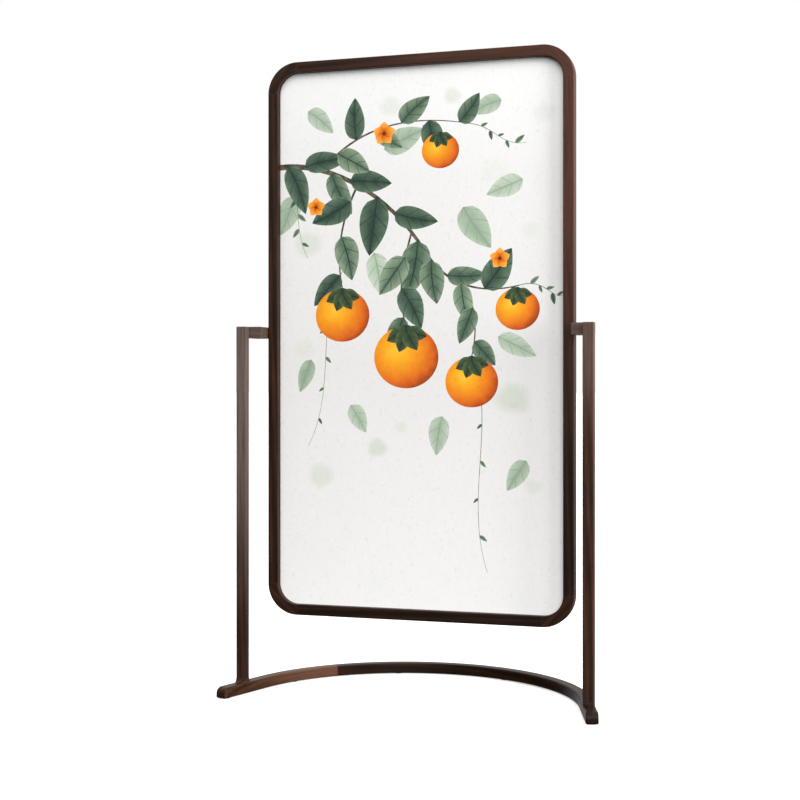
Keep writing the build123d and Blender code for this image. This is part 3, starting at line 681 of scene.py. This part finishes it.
def printed_sheet(name, node, backwards):
    """Stretches a printed cloth in the node's place and as thick as the node, its print facing out."""
    low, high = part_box(node)
    sheet = bmesh.new()
    corners = [sheet.verts.new((x, z, 0)) for x, z in (
        (low.x, low.z), (high.x, low.z), (high.x, high.z), (low.x, high.z))]
    sheet.faces.new(corners)
    bmesh.ops.bevel(sheet, geom=corners, offset=cloth_corner, segments=16, profile=0.5,
                    affect="VERTICES", material=-1)
    area = sum(face.calc_area() for face in sheet.faces)

    # All outlines are cut into one flat mesh, where each cell knows the shapes that it lies in.
    points, faces, owners = [], [], []
    for owner, shape in enumerate([sheet] + [motif["shape"] for motif in motifs]):
        first = len(points)
        shape.verts.index_update()
        points += [two_parts(corner.co) for corner in shape.verts]
        faces += [[first + corner.index for corner in face.verts] for face in shape.faces]
        owners += [owner] * len(shape.faces)
    spots, _, cells, _, _, sources = delaunay_2d_cdt(points, [], faces, inside_only, same_point)

    # A cell belongs to the last motif that was laid over it, or else to the bare ground.
    cloth = bmesh.new()
    motif_map = cloth.loops.layers.uv.new("motif")
    tone_layer = cloth.faces.layers.float.new("tone")
    out = high.y if backwards else low.y
    turn = -1 if backwards else 1
    dots = [cloth.verts.new((turn * spot.x, out, spot.y)) for spot in spots]
    for cell, source in zip(cells, sources):
        above = {owners[i] for i in source}
        if 0 not in above:
            continue
        face = cloth.faces.new([dots[i] for i in cell])
        top = max(above)
        if top:
            motif = motifs[top - 1]
            face.material_index = cloth_kinds.index(motif["ink"])
            face[tone_layer] = motif["tone"]
            for loop, i in zip(face.loops, cell):
                loop[motif_map].uv = motif["local"](spots[i])
    bmesh.ops.delete(cloth, geom=[dot for dot in cloth.verts if not dot.link_faces], context="VERTS")
    bmesh.ops.recalc_face_normals(cloth, faces=cloth.faces)
    mesh = bpy.data.meshes.new(name)
    cloth.to_mesh(mesh)
    if (mesh.polygons[0].normal.y > 0) != backwards:
        mesh.flip_normals()
    piece = bpy.data.objects.new(name, mesh)
    bpy.context.scene.collection.objects.link(piece)
    for material in cloth_materials:
        mesh.materials.append(material)
    body = piece.modifiers.new("thickness", "SOLIDIFY")
    body.thickness = high.y - low.y
    body.offset = -1
    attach(piece, "panel")
    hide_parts(node)
    return piece


printed_sheet("front_printed_cloth", "front_cloth", backwards=False)
printed_sheet("rear_printed_cloth", "rear_cloth", backwards=True)


# Beads hold the picture in from behind: thin walnut strips and four curved corner pieces, butted
# end to end in the rebate and pinned to the frame with fine zinc-plated brads.
finish_with(stained_walnut("walnut_upright_bead", frame_tones), "bead_left", "bead_right", "bead_corners")
finish_with(stained_walnut("walnut_level_bead", frame_tones, grain=along_x), "bead_top", "bead_bottom")
finish_with(zinc, "bead_pins")


# The stage: a plain white floor and background under plain soft light from above, a window on the
# right and a weak fill from behind. The camera has the photograph's viewing angle, 4.1 m from the
# screen and 0.87 m above the floor.
floor_reach = 200


def place_object(name, data, place, turn):
    """Links an object with its place and its turn in degrees."""
    thing = bpy.data.objects.new(name, data)
    thing.location = place
    thing.rotation_euler = Euler([radians(t) for t in turn])
    bpy.context.scene.collection.objects.link(thing)
    return thing


# The floor glows a little, to be as white as the backdrop, and throws no light back on the wood.
floor_mesh = bmesh.new()
bmesh.ops.create_grid(floor_mesh, x_segments=1, y_segments=1, size=floor_reach)
floor_data = bpy.data.meshes.new("floor")
floor_mesh.to_mesh(floor_data)
floor = place_object("floor", floor_data, (0, 0, 0), (0, 0, 0))
floor_paint, tree, shader = new_material("white_floor")
shader.inputs["Base Color"].default_value = linear("#FAFAFA")
shader.inputs["Roughness"].default_value = 0.9
shader.inputs["Specular IOR Level"].default_value = 0.0
shader.inputs["Emission Color"].default_value = linear("#FFFFFF")
shader.inputs["Emission Strength"].default_value = 0.35
floor_data.materials.append(floor_paint)
floor.visible_glossy = False
floor.visible_diffuse = False

# The camera sees plain white, while the screen is lit more from above, and less from behind.
world = bpy.data.worlds.new("white_studio")
bpy.context.scene.world = world
world.use_nodes = True
tree = world.node_tree
tree.nodes.clear()
seen = add(tree, "LightPath", {}).outputs["Is Camera Ray"]
facing = add(tree, "SeparateXYZ", {0: add(tree, "TexCoord", {}).outputs["Generated"]})
upward = add(tree, "MapRange", {0: facing.outputs[2], 1: -0.3, 2: 0.6, 3: 0.0, 4: 1.0}).outputs[0]
sky = add(tree, "ValToRGB", {0: upward}, stops=(
    (0.0, "#101010"), (0.33, "#787878"), (1.0, "#E8E8E8"),
)).outputs[0]
dimmer = add(tree, "MapRange", {0: facing.outputs[1], 1: 0.3, 2: 0.95, 3: 1.0, 4: 0.4}).outputs[0]
glow = add(tree, "Background", {"Color": sky, "Strength": dimmer}).outputs[0]
white = add(tree, "Background", {"Color": (1, 1, 1, 1), "Strength": 1.0}).outputs[0]
both = add(tree, "MixShader", {0: seen, 1: glow, 2: white}).outputs[0]
add(tree, "OutputWorld", {0: both})

sun = bpy.data.lights.new("soft_overhead", "SUN")
sun.energy = 2.3
sun.angle = radians(60)
place_object("soft_overhead", sun, (0, 0, 4), (62, 0, 14))
fill = bpy.data.lights.new("rear_fill", "SUN")
fill.energy = 1.1
fill.angle = radians(90)
place_object("rear_fill", fill, (0, 3, 3), (-72, 0, 20))
window = bpy.data.lights.new("right_window", "AREA")
window.energy = 180
window.shape = "RECTANGLE"
window.size = 2.0
window.size_y = 2.4
place_object("right_window", window, (3.2, -0.5, 1.5), (0, 90, 0)).visible_camera = False

# The lens is given for the photograph's square frame, and the shift is its off-centre framing.
camera = bpy.data.cameras.new("camera")
camera.sensor_width = 36
camera.lens = 65.93
camera.shift_x = -0.0047
camera.shift_y = -0.0164
camera.clip_end = 500
bpy.context.scene.camera = place_object("camera", camera, (1.2087, -4.0168, 0.8717), (90, 0, 17.72))

bpy.context.scene.view_settings.view_transform = "Standard"
